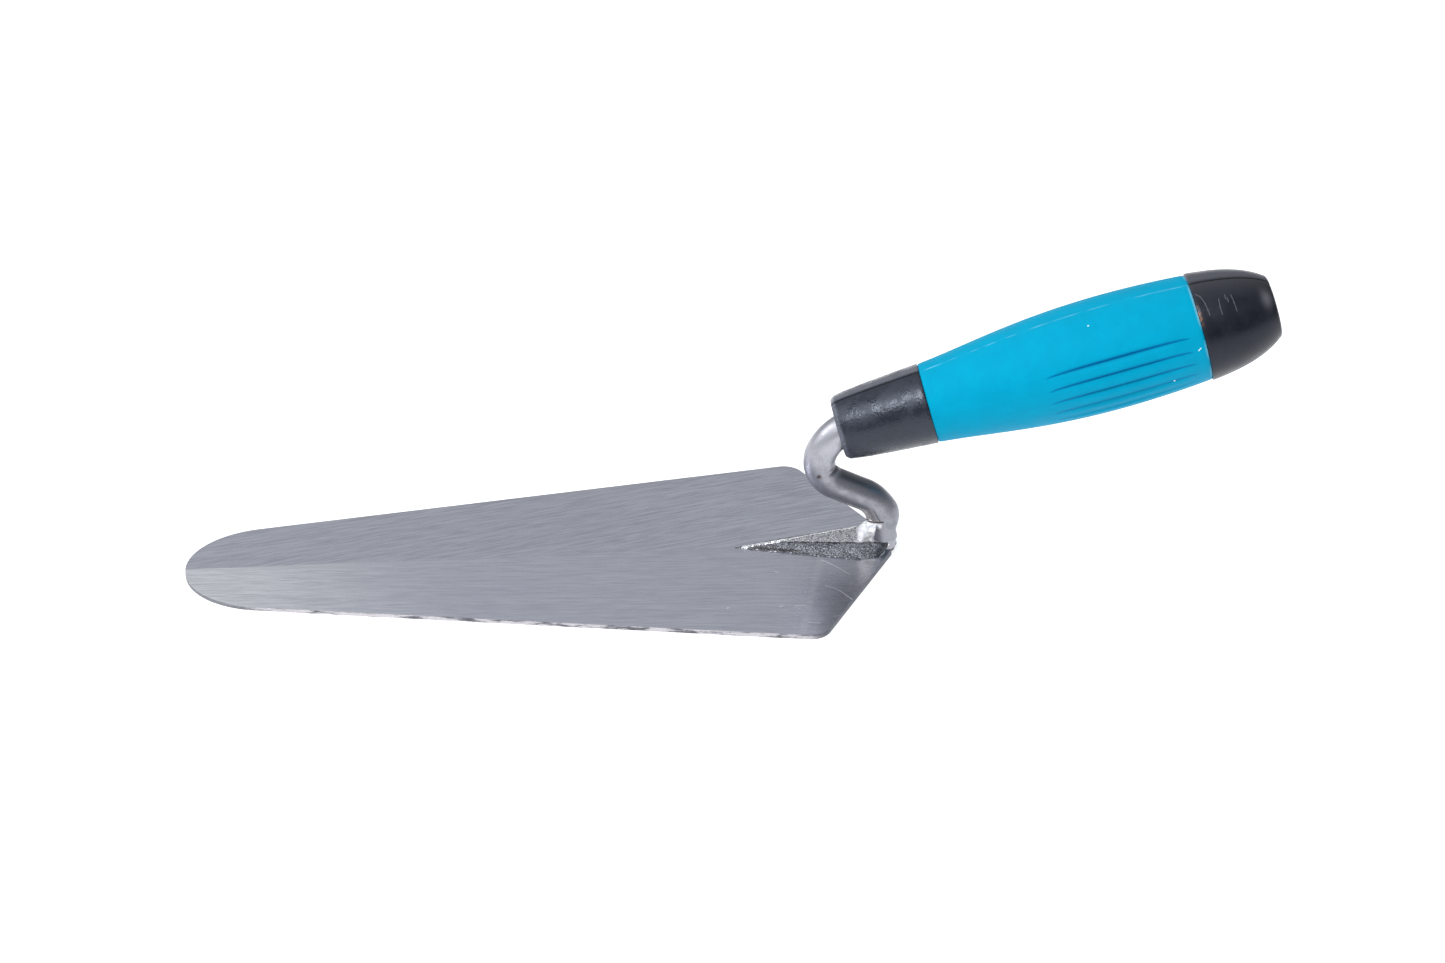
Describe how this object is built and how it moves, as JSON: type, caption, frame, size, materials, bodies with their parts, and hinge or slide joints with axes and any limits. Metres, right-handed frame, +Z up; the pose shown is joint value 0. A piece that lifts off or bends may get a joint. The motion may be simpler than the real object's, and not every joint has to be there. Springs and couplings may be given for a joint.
{
  "type": "brick trowel",
  "caption": "Brick trowel with a tapered round-tipped steel blade, a cranked bar neck welded to a wedge foot, and a swelling soft-grip handle with black ends.",
  "frame": {"origin": "on the blade's flat underside, straight below the axis of the neck's upright, close to the heel", "axes": "+X from the blade towards the handle along the plane of symmetry, +Z up out of the blade, +Y to the blade's left as seen from the handle"},
  "size_m": [0.2756, 0.079, 0.0774],
  "materials": {
    "blade_steel": "ground steel with fine grinding lines along the blade",
    "forged_steel": "dark granular forged skin",
    "bar_steel": "smooth polished round bar",
    "weld_metal": "bright ground weld metal",
    "black_core": "hard black moulding with a worn satin sheen",
    "soft_grip": "matte soft moulding in cyan blue",
    "black_cap": "hard black moulding with fine scratches"
  },
  "bodies": {
    "root": {"blade": "blade_steel", "foot": "forged_steel", "neck": "bar_steel", "neck_weld": "weld_metal", "heel_weld": "weld_metal", "side_weld_left": "weld_metal", "side_weld_right": "weld_metal", "handle_core": "black_core", "grip": "soft_grip", "butt_cap": "black_cap"}
  },
  "joints": []
}
